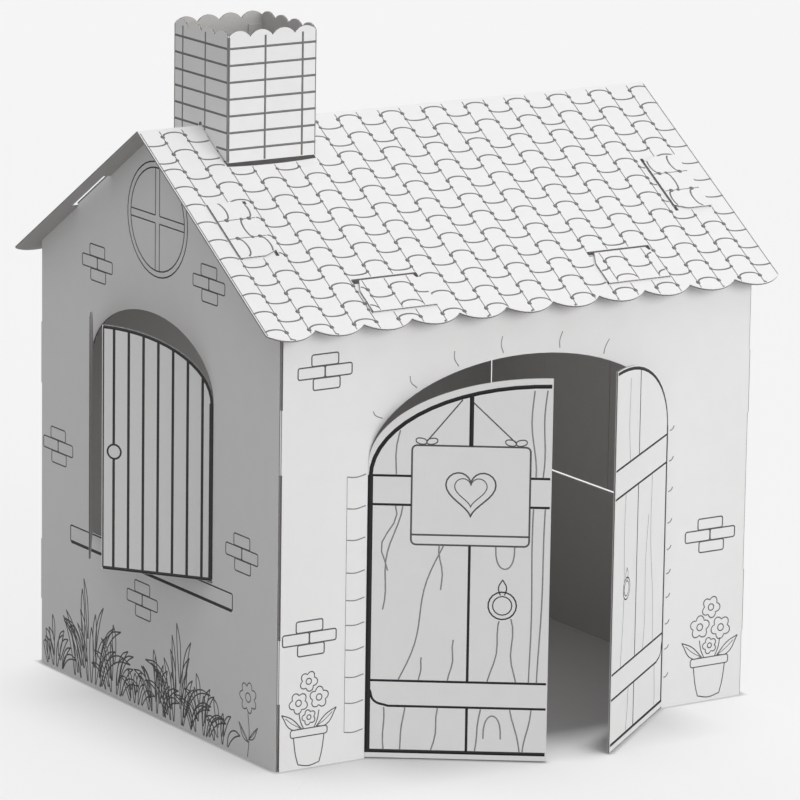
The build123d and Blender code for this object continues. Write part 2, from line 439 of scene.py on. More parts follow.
class Pen:
    """Draws the strokes of one panel, in millimetres, as the splines of a single curve."""

    def __init__(self, name, place):
        self.name = name
        self.place = place
        self.curve = bpy.data.curves.new(name, "CURVE")
        self.curve.dimensions = "3D"
        self.curve.bevel_depth = 0.5
        self.curve.bevel_resolution = 0
        self.curve.use_fill_caps = True
        self.curve.resolution_u = 5

    def line(self, points, width, closed=False):
        spline = self.curve.splines.new("POLY")
        spline.points.add(len(points) - 1)
        for knot, (u, v) in zip(spline.points, points):
            knot.co = (u, v, 0, 1)
            knot.radius = width
        spline.use_cyclic_u = closed
        return spline

    def blot(self, u, v, size):
        """A spot of ink where strokes meet."""
        spline = self.line([(u, v + size * share) for share in (-0.5, -0.25, 0.25, 0.5)], size)
        for end in (0, -1):
            spline.points[end].radius = size / 2

    def lines_in(self, points, width, keep):
        for run in trimmed(stretch(points), keep):
            self.line(run, width)

    def bend(self, points, width, closed=False):
        spline = self.curve.splines.new("BEZIER")
        spline.bezier_points.add(len(points) - 1)
        for knot, (u, v) in zip(spline.bezier_points, points):
            knot.co = (u, v, 0)
            knot.radius = width
            knot.handle_left_type = "AUTO"
            knot.handle_right_type = "AUTO"
        spline.use_cyclic_u = closed

    def ring(self, u, v, radius, width, tall=1.0):
        steps = 12 + int(radius / 3)
        turns = [2 * pi * i / steps for i in range(steps)]
        self.line([(u + radius * cos(t), v + radius * tall * sin(t)) for t in turns], width, True)

    def box(self, u0, v0, u1, v1, corner, width):
        """An upright box with rounded corners."""
        points = []
        corners = ((u1, v1, 0), (u0, v1, 90), (u0, v0, 180), (u1, v0, 270))
        for u, v, start in corners:
            middle_u = u - corner if u == u1 else u + corner
            middle_v = v - corner if v == v1 else v + corner
            for turn in (0, 30, 60, 90):
                angle = radians(start + turn)
                points.append((middle_u + corner * cos(angle), middle_v + corner * sin(angle)))
        self.line(points, width, True)

    def press(self, ink, body):
        """Turns the strokes into a mesh, presses it flat and lays it on its panel."""
        drawn = bpy.data.objects.new(self.name, self.curve)
        mesh = bpy.data.meshes.new_from_object(drawn)
        bpy.data.objects.remove(drawn)
        mesh.transform(Matrix.Diagonal((1, 1, ink_relief, 1)))
        mesh.transform(self.place)
        mesh.materials.clear()
        mesh.materials.append(ink)
        mesh.name = self.name
        piece = bpy.data.objects.new(self.name, mesh)
        bpy.context.scene.collection.objects.link(piece)
        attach(piece, body)
        print(f"{self.name}: {len(self.curve.splines)} strokes, {len(mesh.polygons)} faces")
        return piece


# %% [markdown]
# Wavy roof tiles: every row is a line of arcs, up over one column and down under the next, with flat
# tops and round shoulders. The upper arcs start a little above the lower ones, and a thin joint runs
# down the slope between the columns, with a blot where each arc meets it. The two rows next to the
# ridge are printed one column out, and a line runs down each end of the roof. Ink stops at the
# scalloped eave, at the chimney and at the tabs.

# %% Tile print
tile_width = 38.7
tile_step = 38.5
first_row = 23.0
row_split = 6.5
crown = 8.5
hollow = 5.0
shoulder = 0.5
tile_line = 2.7
joint_line = 1.6
tile_blots = ((-row_split, 6.8), (row_split, 5.4))
edge_inset = 2.4
ridge_rows = 2
arc_steps = 8
print(f"{2 * roof_half / tile_width:.1f} columns of tiles on the roof")


def draw_tiles(pen, keep, u_span, d_span, lay, shift=(0.0, 0.0)):
    """Tiles over a span of columns and rows; lay turns column and row distance into panel places."""
    start_u, start_d = shift[0], first_row + shift[1]
    columns = range(int((u_span[0] - start_u) // tile_width), ceil((u_span[1] - start_u) / tile_width))
    rows = range(ceil((d_span[0] - start_d) / tile_step) - 1, int((d_span[1] - start_d) // tile_step) + 2)
    for column in columns:
        u = start_u + column * tile_width
        pen.lines_in([lay(u, d_span[0]), lay(u, d_span[1])], joint_line, keep)
        for row in rows:
            d = start_d + row * tile_step
            raised = (column + (row < ridge_rows)) % 2 == 0
            foot, bulge = (d - row_split, -crown) if raised else (d + row_split, hollow)
            arc = []
            for i in range(arc_steps + 1):
                share = i / arc_steps
                arc.append(lay(u + tile_width * share, foot + bulge * sin(pi * share) ** shoulder))
            pen.lines_in(arc, tile_line, keep)
            for offset, size in tile_blots:
                blot_d = d + offset
                if keep(*lay(u, blot_d - size)) and keep(*lay(u, blot_d + size)):
                    pen.blot(*lay(u, blot_d), size)


# %% [markdown]
# The roof's edge, its cuts and its tabs are known from the CAD model, and are named here once. Each
# gets a short test of its own, and the test for a whole slope asks them all.

# %% Roof sizes
eave_lobes = 11
lobe_depth = 16.0
slope_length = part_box("roof")[1].y / mm / cos(pitch) - board * sin(pitch) / cos(pitch)
gable_tab_low, gable_tab_high = 168.0, 284.0
tab_reach = 65.0
tab_taper = 22.0
tab_narrowing = 9.0
wall_tab_middle = 211.0
wall_tab_half = 56.0
wall_tab_foot = (half_depth - board * sin(pitch)) / cos(pitch)
gable_slit_open, wall_slit_open = 2.0, 6.5
slot_open = {"front": 1.5, "back": 13.0}
slot_play = 1.5
ink_margin = 1.2
ridge_margin = 4.0
foot_gap_bow = 2.5
print(f"slope {slope_length:.0f} mm long, wall tabs folded {wall_tab_foot:.0f} mm below the ridge")


# %% Where ink may lie on the roof
def by_gable_tab(u, down, gap):
    """True at a gable's tab and the cuts around it; gap is the open part of its slot."""
    inner = half_width - tab_reach - gable_slit_open - ink_margin
    outer = half_width + gap + ink_margin
    play = slot_play + ink_margin
    return inner < abs(u) < outer and gable_tab_low - play < down < gable_tab_high + play


def by_wall_tab(u, down):
    """True at a long wall's tab and the cuts around it."""
    near = abs(abs(u) - wall_tab_middle) < wall_tab_half + slot_play + ink_margin
    return near and -tab_reach - wall_slit_open - ink_margin < down - wall_tab_foot < 2 * ink_margin


def by_chimney(u, down):
    """True under the chimney, at its slots and at the bowed gap along its foot."""
    across = abs(u - chimney_middle.x)
    bow = foot_gap_bow * max(0.0, 1 - (across / chimney_half) ** 2)
    from_ridge = down * cos(pitch) + board * sin(pitch)
    reach = chimney_half + 2 * ink_margin
    return across < reach and from_ridge < reach + bow


def on_slope(u, v, side):
    """True on the open face of a roof slope, clear of its edges, cuts, tabs and chimney."""
    down = -v
    lobe = 2 * roof_half / eave_lobes
    from_middle = (u + roof_half) % lobe - lobe / 2
    eave = slope_length - lobe_depth * (2 * from_middle / lobe) ** 2 - ink_margin
    if abs(u) > roof_half - ink_margin or not ridge_margin < down < eave:
        return False
    house_u = u if side == "front" else -u
    return not (by_gable_tab(u, down, slot_open[side]) or by_wall_tab(u, down) or by_chimney(house_u, down))


# %% Roof print
for side, front in (("front", 1), ("back", -1)):
    pen = Pen(f"{side}_slope_print", slope_panel(front, 1))

    def clear_slope(u, v):
        return on_slope(u, v, side)

    draw_tiles(pen, clear_slope, (-roof_half, roof_half), (0, slope_length), lambda u, d: (u, -d))
    for end in (edge_inset - roof_half, roof_half - edge_inset):
        pen.lines_in([(end, 0), (end, -slope_length)], joint_line, clear_slope)
    pen.press(grey_ink, "house")

# %% [markdown]
# The tabs are part of the wall sheet, folded in over the roof, so their piece of tile print doesn't
# meet the roof's: on a gable it lies across, and on the long walls it is out of step.


# %% Tab print
def on_tab(across, reach, half):
    """True on a tab's flat: half its width, narrower towards the tucked end."""
    taper = max(0.0, reach - (tab_reach - tab_taper)) / tab_taper
    return 1 < reach < tab_reach - 1 and abs(across) < half - ink_margin - tab_narrowing * taper


gable_tab_shift = (12.0, 9.0)
wall_tab_shift = (17.0, 14.0)
gable_tab_middle = (gable_tab_low + gable_tab_high) / 2
gable_tab_half = (gable_tab_high - gable_tab_low) / 2
for name, front in (("front", 1), ("back", -1)):
    pen = Pen(f"{name}_tab_print", slope_panel(front, 2))
    for side in (-1, 1):
        draw_tiles(
            pen,
            lambda u, v: on_tab(-v - gable_tab_middle, half_width - abs(u), gable_tab_half),
            (gable_tab_low, gable_tab_high),
            (half_width - tab_reach, half_width),
            lambda across, inward: (side * inward, -across),
            gable_tab_shift,
        )
        draw_tiles(
            pen,
            lambda u, v: on_tab(u - side * wall_tab_middle, wall_tab_foot + v, wall_tab_half),
            (side * wall_tab_middle - wall_tab_half, side * wall_tab_middle + wall_tab_half),
            (wall_tab_foot - tab_reach, wall_tab_foot),
            lambda u, d: (u, -d),
            wall_tab_shift,
        )
    pen.press(grey_ink, "house")

# %% [markdown]
# The chimney's bricks are a plain grid: level joints from the rim down, and upright joints counted
# from the front left corner on each face. The front and back faces also have a line at that corner.
# The end faces stop at the notch by which the chimney sits on the ridge, and the front and back faces
# at the foot of that notch.

# %% Chimney print
brick_length = 65.5
brick_course = 25.4
top_course = 15.8
rim_lobe = 10.0
brick_ink = 3.4
corner_joint = 0.03
notch_pitch = radians(30.5)
notch_relief = 5.0
rim = chimney_high.z - rim_lobe


def slope_line(y, slope):
    """Height of a slope that lies one board over the ridge, at a distance from the ridge."""
    return ridge + board / cos(slope) - abs(y) * sin(slope) / cos(slope)


chimney_faces = (("front", -backward), ("back", backward), ("left", -rightward), ("right", rightward))
for name, face in chimney_faces:
    across = upward.cross(face)
    middle = Vector((chimney_middle.x, 0, 0)) + face * chimney_half
    pen = Pen(f"chimney_{name}_print", panel(middle, across, upward))
    along_ridge = abs(face.y) > 0.5

    def above_foot(u, v):
        foot = slope_line(chimney_half if along_ridge else u, notch_pitch)
        from_hole = dist((u, v), (0, slope_line(0, notch_pitch))) - notch_relief
        if from_hole < ink_margin and not along_ridge:
            return False
        return v > foot + ink_margin and abs(u) < chimney_half - ink_margin

    near_corner = across.dot(Vector((-1, -1, 0)))
    lowest = slope_line(chimney_half, notch_pitch)
    level = rim - top_course
    while level > lowest:
        pen.lines_in([(-chimney_half, level), (chimney_half, level)], brick_ink, above_foot)
        level -= brick_course
    joints = (corner_joint, 1, 2) if along_ridge else (1, 2)
    for count in joints:
        u = near_corner * (chimney_half - count * brick_length)
        pen.lines_in([(u, lowest), (u, rim + 1)], brick_ink, above_foot)
    pen.press(grey_ink, "house")

# %% [markdown]
# Small drawings are shared by the walls. A patch of bare bricks is four boxes, a bloom is a closed line
# whose radius swells once for each petal, and a blade of grass is two edges beside a bent path, which
# meet at its tip. The blades of a tuft grow from several heights and fan out, the outer ones hang
# over, and none may leave its wall.


# %% Bricks, blooms and grass
patch_ink = 2.1
plant_ink, rib_ink = 1.8, 1.2
grass_ink = 2.3
brick_gap = 0.6
brick_corner = 3.2
petal_depth = 0.3
print(f"inks of bricks, plants and grass: {patch_ink}, {plant_ink} and {grass_ink} mm wide")


def brick_patch(pen, u, v, length=47.0, course=18.0):
    for offset, row in ((0, 1), (-0.5, 0), (0.5, 0), (0.06, -1)):
        middle = u + offset * length
        low = v + (row - 0.5) * course
        left, right = middle - length / 2 + brick_gap, middle + length / 2
        pen.box(left, low + brick_gap, right, low + course, brick_corner, patch_ink)


def bloom(pen, u, v, radius, petals=5, turn=0.0):
    steps = 8 * petals
    points = []
    for i in range(steps):
        angle = 2 * pi * i / steps
        reach = radius * (1 - petal_depth * (1 - abs(sin(angle * petals / 2))))
        points.append((u + reach * cos(angle + turn), v + reach * sin(angle + turn)))
    pen.line(points, plant_ink, True)
    pen.ring(u, v, radius * 0.3, plant_ink)


# %% Blades, leaves and tufts
def blade(pen, foot, bend, tip, thick):
    """A pointed blade whose path leaves the foot towards the bend and ends at the tip."""
    for side in (-1, 1):
        edge = []
        for share, swell in ((0, 0.1), (0.35, 0.45), (0.7, 0.4), (1, 0)):
            place = foot * (1 - share) ** 2 + bend * 2 * share * (1 - share) + tip * share**2
            course = ((bend - foot) * (1 - share) + (tip - bend) * share).normalized()
            edge.append(place + Vector((-course.y, course.x)) * side * thick * swell)
        pen.bend(edge, grass_ink)


def broad_leaf(pen, u, v, reach, rise, thick):
    """A long pointed leaf with a rib, from its stalk to its tip."""
    tip = (u + reach, v + rise)
    for side in (-1, 1):
        pen.bend([(u, v), (u + reach * 0.5, v + rise * 0.35 + side * thick), tip], plant_ink)
    rib = [(u, v), (u + reach * 0.45, v + rise * 0.35), (u + reach * 0.8, v + rise * 0.75)]
    pen.bend(rib, rib_ink)


def tuft(pen, dice, u, spread, height, count, limit):
    """A clump of grass that fans out from its middle and stays within the limits of its wall."""
    for i in range(count):
        share = 2 * (i + 0.5) / count - 1
        thick = dice.uniform(7, 12)
        room = limit - thick
        start = height * (i % 3) * 0.2 * (1 - abs(share))
        length = height * dice.uniform(0.42, 0.62)
        lean = share * dice.uniform(0.35, 0.8) + dice.uniform(-0.12, 0.12)
        across = max(-room, min(room, u + share * spread * 0.32 + dice.uniform(-6, 6)))
        foot = Vector((across, start + 4))
        bend = foot + Vector((sin(lean * 0.5), cos(lean * 0.5))) * length * 0.7
        tip = foot + Vector((sin(lean * 1.7), cos(lean * 1.7))) * length
        tip.x = max(-room, min(room, tip.x))
        blade(pen, foot, bend, tip, thick)


# %% [markdown]
# The pot plants and the meadow flower are plain shapes of our own: a tapered pot with a rim, round
# five-petalled blooms on stalks, and long leaves to each side.


# %% Pots and flowers
pot_blooms = ((-20, 107, 18, 0.2), (19, 112, 18, 0.9), (-1, 141, 17, 0.5), (0, 81, 13, 0.0))
print("blooms in each pot:", len(pot_blooms))


def pot_plant(pen, u, v, scale=1.0, flip=1):
    def at(across, up):
        return (u + flip * scale * across, v + scale * up)

    pen.box(*at(-35 * flip, 50), *at(35 * flip, 63), 4, plant_ink)
    pen.bend([at(-29, 50), at(-25, 22), at(-20, 4)], plant_ink)
    pen.bend([at(29, 50), at(25, 22), at(20, 4)], plant_ink)
    pen.bend([at(-20, 4), at(0, 0), at(20, 4)], plant_ink)
    for across, up, radius, turn in pot_blooms:
        bloom(pen, *at(across, up), radius * scale, 5, turn)
    for side in (-1, 1):
        pen.bend([at(side * 19, 91), at(side * 16, 76), at(side * 10, 63)], plant_ink)
        broad_leaf(pen, *at(side * 14, 64), flip * side * 38 * scale, 27 * scale, 9 * scale)


def meadow_flower(pen, u, v, height):
    bloom(pen, u, v + height, 24, 7)
    pen.bend([(u, v + height - 24), (u + 4, v + height * 0.4), (u, v)], plant_ink)
    broad_leaf(pen, u + 2, v + height * 0.25, -28, 26, 5)
    broad_leaf(pen, u + 2, v + height * 0.3, 26, 24, 5)


# %% [markdown]
# On the door wall bricks show in three places, and a pot plant stands on each side, the right one a
# little larger and turned round.

# %% Door wall print
wall_patches = ((-349, 600), (-371, 199), (356, 265))
wall_pots = ((-370, 3, 0.92, 1), (361, 5, 1.02, -1))
pen = Pen("door_wall_print", front_panel)
for place in wall_patches:
    brick_patch(pen, *place)
for pot in wall_pots:
    pot_plant(pen, *pot)
pen.press(soft_ink, "house")

# %% [markdown]
# The doorway has a frame of stones in paler ink: a strip with level joints beside it, short joints on
# the other side, and a few that fan out over the arch. The fan follows the arch's own ellipse, a
# little outside it.

# %% Stones round the doorway
stone_ink, strip_ink, fan_ink = 1.8, 1.0, 1.6
strip_width = 36.0
stone_levels = (45, 90, 130, 172, 210, 248, 290, 340, 388, 436)
stone_fan = (28, 48, 66, 83, 104, 122)
arch_spring, arch_rise = 450.0, 138.0
pen = Pen("doorway_stones", front_panel)
strip_out = door_half + strip_width
pen.line([(-strip_out, stone_levels[0]), (-strip_out, stone_levels[-1])], strip_ink)
for level in stone_levels:
    pen.bend([(-strip_out, level), (-door_half - 20, level - 2), (-door_half - 3, level + 1)], stone_ink)
    hook = [(door_half + across, level + up) for across, up in ((3, 3), (8, 5), (11, 10))]
    pen.bend(hook, stone_ink)
for turn in stone_fan:
    angle = radians(180 - turn)
    foot = (door_half * cos(angle) * 1.03, arch_spring + arch_rise * sin(angle) * 1.05)
    tip = (door_half * cos(angle) * 1.10, arch_spring + arch_rise * sin(angle) * 1.24)
    pen.bend([foot, (foot[0] * 0.4 + tip[0] * 0.6 - 3, (foot[1] + tip[1]) / 2), tip], fan_ink)
pen.press(pale_ink, "house")

# %% [markdown]
# Each gable carries a round window over the real one, a sill below it, bricks, and a strip of grass
# along the floor. The right gable is the mirror image of the left. The grass is placed by seeded
# chance, so that every run draws the same meadow.

# %% Gable print
sill_low, sill_high = 217.0, 243.0
sill_offset, sill_half = -17.5, 242.5
sill_corner = 3.0
sill_ink, sill_shade = 2.4, 5.0
bull_eye = 772.0
eye_rim, eye_pane, glazing_half = 88, 79, 6
eye_ink, glazing_ink = 2.2, 2.0
gable_patches = ((-180, 672), (150, 700), (-300, 360), (250, 310), (-40, 172))
gable_tufts = (
    (-308, 90, 100, 11),
    (-200, 130, 170, 17),
    (-125, 80, 115, 11),
    (-60, 60, 75, 8),
    (5, 80, 118, 12),
    (70, 120, 160, 17),
    (135, 80, 112, 11),
    (195, 50, 80, 7),
)


def gable_print(name, place, flip):
    pen = Pen(name, place)
    for radius in (eye_rim, eye_pane):
        pen.ring(0, bull_eye, radius, eye_ink)
    reach = sqrt(eye_pane**2 - glazing_half**2)
    for offset in (-glazing_half, glazing_half):
        for side in (-1, 1):
            start, end = side * glazing_half, side * reach
            pen.line([(offset, bull_eye + start), (offset, bull_eye + end)], glazing_ink)
            pen.line([(start, bull_eye + offset), (end, bull_eye + offset)], glazing_ink)
    sill_middle = flip * sill_offset
    sill_start, sill_end = sill_middle - sill_half, sill_middle + sill_half
    pen.box(sill_start, sill_low, sill_end, sill_high, sill_corner, sill_ink)
    pen.line([(sill_start + 2, sill_low), (sill_end - 2, sill_low)], sill_shade)
    pen.press(fine_ink, "house")


def meadow_print(name, place, flip):
    pen = Pen(f"{name}_meadow", place)
    dice = random.Random(5)
    for u, v in gable_patches:
        brick_patch(pen, flip * u, v, 46.0, 19.0)
    for u, spread, height, count in gable_tufts:
        tuft(pen, dice, flip * u, spread, height, count, half_depth - 6)
    meadow_flower(pen, flip * 272, 3, 92)
    pen.press(soft_ink, "house")


for side, place, flip in (("left", left_panel, 1), ("right", right_panel, -1)):
    gable_print(f"{side}_gable_print", place, flip)
    meadow_print(f"{side}_gable_print", place, flip)

# %% [markdown]
# The back wall has no opening. It gets the same kind of bricks and grass, spread over its width.

# %% Back wall print
back_patches = ((-330, 560), (-150, 400), (90, 590), (300, 430), (170, 250), (-290, 240))
pen = Pen("back_wall_print", back_panel)
dice = random.Random(11)
for place in back_patches:
    brick_patch(pen, *place)
for u in range(-360, 400, 90):
    tuft(pen, dice, u, 110, dice.uniform(90, 160), 13, half_width - 6)
pen.press(soft_ink, "house")

# %% [markdown]
# The door leaves are drawn as boarded doors: a heavy outline along the crease, the arch and the foot,
# two bands across, one joint down the middle and loose wood grain. The grain passes behind the bands,
# so it is trimmed by them. The drawn arch lies well inside the cut on the left leaf, and close to the
# cut on the right one, because print and cut never register exactly.

# %% Door leaf outline and bands
outline_inset = 4.0
foot_inset = 12.0
left_arch = (432.0, 143.0)
right_arch = (446.0, 137.0)
band_upper = (391.0, 435.0)
band_lower = (82.0, 121.0)
middle_joint = 152.0
free_edge = door_half - 2.5
left_heavy, right_heavy = 8.0, 6.5
left_band_ink, right_band_ink = 3.6, 3.4
print(f"door leaves print {free_edge:.1f} mm wide")


def door_arch(a, arch=left_arch):
    """Height of the drawn arch at a distance from the crease."""
    spring, rise = arch
    across = (door_half - a) / (door_half - outline_inset)
    return spring + rise * sqrt(max(0.0, 1 - across**2))


def door_outline(pen, lay, arch, heavy):
    spring, rise = arch
    reach = door_half - outline_inset
    turns = [radians(6 * i) for i in range(15)]
    curve = [(door_half - reach * cos(t), spring + rise * sin(t)) for t in turns]
    curve.append((free_edge, door_arch(free_edge, arch)))
    pen.line([lay(a, v) for a, v in curve], heavy * 0.75)
    pen.line([lay(outline_inset, foot_inset - heavy * 0.35), lay(outline_inset, spring + 3)], heavy)
    pen.line([lay(0.8, foot_inset), lay(free_edge, foot_inset)], heavy * 0.7)


def door_bands(pen, lay, width, hidden=(door_half, door_half)):
    """The lines of both bands; a stretch of the upper one can lie hidden behind something."""
    for level in band_upper:
        for start, end in ((outline_inset, hidden[0]), (hidden[1], free_edge)):
            if start < end:
                pen.line([lay(start, level), lay(min(end, free_edge), level)], width)
    low, high = band_lower
    pen.line([lay(outline_inset, high), lay(free_edge, high)], width)
    pen.bend([lay(7, low + 24), lay(13, low + 8), lay(34, low)], width)
    pen.line([lay(33, low), lay(free_edge, low)], width)


def door_joint(pen, lay, stretches, width):
    """The joint between a leaf's two boards, in the stretches where it shows."""
    for start, end in stretches:
        pen.line([lay(middle_joint, start), lay(middle_joint, end)], width)


# %% [markdown]
# Wood grain is a handful of slow waves. Each one is given by where it starts, how far it runs and how
# much it sways, and a knot is a hairpin of the same ink.


# %% Wood grain
grain_ink = 2.2


def in_door(a, v):
    """True where grain may show: inside the outline and clear of the bands."""
    in_band = any(low - 2 < v < high + 2 for low, high in (band_upper, band_lower))
    return 10 < a < free_edge - 1 and foot_inset + 3 < v < door_arch(a) - 6 and not in_band


def grain_line(pen, lay, keep, points):
    for run in trimmed(points, keep):
        pen.line([lay(*point) for point in run], grain_ink)


def grain(pen, lay, keep, a, low, high, slant, sway):
    steps = max(6, int((high - low) / 14))
    points = []
    for i in range(steps + 1):
        share = i / steps
        points.append((a + slant * share + sway * sin(share * 7 + a), low + (high - low) * share))
    grain_line(pen, lay, keep, points)


def knot(pen, lay, keep, a, v, half, drop):
    points = []
    for i in range(13):
        angle = pi * i / 12
        points.append((a + half * cos(angle), v - drop * sin(angle) ** 0.7))
    grain_line(pen, lay, keep, points)


# %% Grain of each leaf
left_grain = (
    (28, 14, 88, 0, 1),
    (52, 14, 90, 8, 1),
    (100, 14, 92, 12, 2),
    (164, 14, 92, 10, 1),
    (232, 14, 92, -18, 1),
    (236, 14, 92, 14, 1),
    (50, 121, 332, 62, 6),
    (80, 121, 158, 4, 1),
    (124, 121, 186, 8, 2),
    (20, 230, 391, 28, 5),
    (24, 290, 391, 14, -8),
    (184, 121, 226, 18, -3),
    (222, 121, 222, -8, 3),
    (244, 121, 391, 2, 1),
    (256, 121, 391, 8, 1),
    (112, 262, 332, -4, 2),
    (246, 435, 590, -4, 3),
    (258, 435, 590, 6, 2),
    (40, 435, 560, 14, 3),
)
right_grain = (
    (40, 14, 82, 4, 1),
    (190, 14, 82, -10, 1),
    (60, 121, 391, 24, 5),
    (110, 121, 330, -14, 4),
    (222, 121, 391, -8, 4),
    (200, 435, 590, 8, 3),
)
left_knots = ((205, 330, 14, 34), (190, 34, 13, -36))
print("grain lines:", len(left_grain), "on the left leaf and", len(right_grain), "on the right")

# %% [markdown]
# A plaque hangs on the left leaf from two strings tied in bows, with a plain heart to colour. The door
# lines behind it are trimmed away. A ring pull hangs near each free edge.

# %% Plaque and ring pull
plaque_left, plaque_right = 65.0, 240.0
plaque_low, plaque_high = 331.0, 482.0
plaque_rail = plaque_low + 15
plaque_corner = 7.0
plaque_ink, string_ink, bow_ink = 2.8, 2.0, 1.8
heart_size, heart_ink = 74.0, 2.4
core_size, core_ink = 48.0, 1.6
pull_place = (202.0, 240.0)
print(f"plaque {plaque_right - plaque_left:.0f} by {plaque_high - plaque_low:.0f} mm")


def off_plaque(a, v):
    return not (plaque_left < a < plaque_right and plaque_low < v < plaque_high)


def heart(pen, lay, a, v, size, width):
    points = []
    for i in range(40):
        t = 2 * pi * i / 40
        across = 16 * sin(t) ** 3
        up = 13 * cos(t) - 5 * cos(2 * t) - 2 * cos(3 * t) - cos(4 * t)
        points.append(lay(a + across * size / 32, v + up * size / 32))
    pen.line(points, width, True)


def bow(pen, lay, a, v):
    for side in (-1, 1):
        loop = [(a, v), (a + side * 9, v + 6), (a + side * 16, v + 3), (a + side * 9, v - 3)]
        pen.bend([lay(*point) for point in loop], bow_ink, True)


def plaque(pen, lay):
    (u0, v0), (u1, v1) = lay(plaque_left, plaque_low), lay(plaque_right, plaque_high)
    pen.box(min(u0, u1), v0, max(u0, u1), v1, plaque_corner, plaque_ink)
    pen.line([lay(plaque_left + 1, plaque_rail), lay(plaque_right - 1, plaque_rail)], plaque_ink)
    middle = (plaque_left + plaque_right) / 2
    centre = (plaque_rail + plaque_high) / 2
    heart(pen, lay, middle, centre, heart_size, heart_ink)
    heart(pen, lay, middle, centre + 1, core_size, core_ink)
    for side in (-1, 1):
        tie = middle + side * 66
        hook = lay(middle - 8 + side * 6, door_arch(middle) - 8)
        pen.line([hook, lay(tie, plaque_high + 6)], string_ink)
        bow(pen, lay, tie, plaque_high + 5)


def ring_pull(pen, lay, radius):
    a, v = pull_place
    pen.ring(*lay(a, v), radius, 2.2)
    pen.ring(*lay(a, v), radius * 0.68, 1.8)
    tip = lay(a, v + radius * 1.9)
    for side in (-1, 1):
        pen.bend([tip, lay(a + side * 6, v + radius * 1.3), lay(a + side * 3, v + radius * 0.75)], 1.8)


# %% [markdown]
# The left leaf takes three inks: black for the outline, bands and joint, a softer one for the plaque,
# and a pale one for the grain, which stays clear of the plaque and the ring pull.

# %% Left door print
left_pull = 21.0
joint_above, joint_below = 6.5, 4.0
above_plaque = ((plaque_high, door_arch(middle_joint)),)
below_plaque = ((foot_inset, band_lower[0]), (band_lower[1], plaque_low))
place, lay = leaf_panel("left_door")


def left_grain_shows(a, v):
    clear_of_pull = dist((a, v), pull_place) > left_pull + 3
    return in_door(a, v) and off_plaque(a, v) and clear_of_pull


pen = Pen("left_door_print", place)
door_outline(pen, lay, left_arch, left_heavy)
door_joint(pen, lay, above_plaque, joint_above)
door_bands(pen, lay, left_band_ink, (plaque_left, plaque_right))
door_joint(pen, lay, below_plaque, joint_below)
ring_pull(pen, lay, left_pull)
pen.press(bold_ink, "left_door")

pen = Pen("left_door_plaque", place)
plaque(pen, lay)
pen.press(soft_ink, "left_door")

pen = Pen("left_door_grain", place)
for wave in left_grain:
    grain(pen, lay, left_grain_shows, *wave)
for hairpin in left_knots:
    knot(pen, lay, left_grain_shows, *hairpin)
pen.press(pale_ink, "left_door")

# %% [markdown]
# The right leaf has no plaque, so its bands run right through, and its middle joint shows between them.

# %% Right door print
right_pull = 17.0
right_joint = 3.6
joint_top = door_arch(middle_joint, right_arch)
between_bands = ((foot_inset, band_lower[0]), (band_lower[1], band_upper[0]), (band_upper[1], joint_top))
place, lay = leaf_panel("right_door")
pen = Pen("right_door_print", place)
door_outline(pen, lay, right_arch, right_heavy)
door_bands(pen, lay, right_band_ink)
door_joint(pen, lay, between_bands, right_joint)
ring_pull(pen, lay, right_pull)
pen.press(bold_ink, "right_door")

pen = Pen("right_door_grain", place)
for wave in right_grain:
    grain(pen, lay, in_door, *wave)
pen.press(pale_ink, "right_door")

# %% [markdown]
# A shutter is eight upright planks with heavy joints, a heavy line along its crease, foot and arch, and
# a ring near its free edge, which hides the joint behind it. All four shutters share the drawing,
# turned to suit their crease.

# %% Shutter print
planks = 8
plank_width = 24.0
first_plank = 18.0
shutter_foot = shut_low.z / mm
shutter_spring = 520.0
shutter_rise = shut_high.z / mm - shutter_spring
shutter_inset = 2.8
crease_inset = 3.6
ring_level, ring_radius, ring_inset = 433.0, 11.0, 18.0
plank_ink, border_ink, crease_ink, free_ink, ring_ink = 4.2, 5.0, 6.5, 2.2, 3.0
arch_points, arch_turn = 16, 5.95
print(f"planks {plank_width:.0f} mm wide, from {shutter_foot:.0f} mm up")


def shutter_arch(a):
    across = (window_half - a) / (window_half - shutter_inset)
    return shutter_spring + (shutter_rise - shutter_inset) * sqrt(max(0.0, 1 - across**2))


def shutter_print(name):
    place, lay = leaf_panel(name)
    pen = Pen(f"{name}_print", place)
    low = shutter_foot + shutter_inset
    free = window_half - shutter_inset
    ring_place = (free - ring_inset, ring_level)

    def clear_of_ring(a, v):
        return dist((a, v), ring_place) > ring_radius

    for i in range(planks - 1):
        a = first_plank + plank_width * i
        for run in trimmed(stretch([(a, low), (a, shutter_arch(a))]), clear_of_ring):
            pen.line([lay(*run[0]), lay(*run[-1])], plank_ink)
    curve = []
    for i in range(arch_points):
        turn = radians(arch_turn * i)
        curve.append(window_half - (window_half - shutter_inset) * cos(turn))
    pen.line([lay(a, shutter_arch(a)) for a in curve], border_ink)
    pen.line([lay(crease_inset, low), lay(crease_inset, shutter_spring + 2)], crease_ink)
    pen.line([lay(1, low), lay(free, low)], border_ink)
    pen.line([lay(free, low), lay(free, shutter_arch(free))], free_ink)
    pen.ring(*lay(*ring_place), ring_radius, ring_ink)
    pen.press(fine_ink, name)


for name in shut_direction:
    if name.endswith("shutter"):
        shutter_print(name)
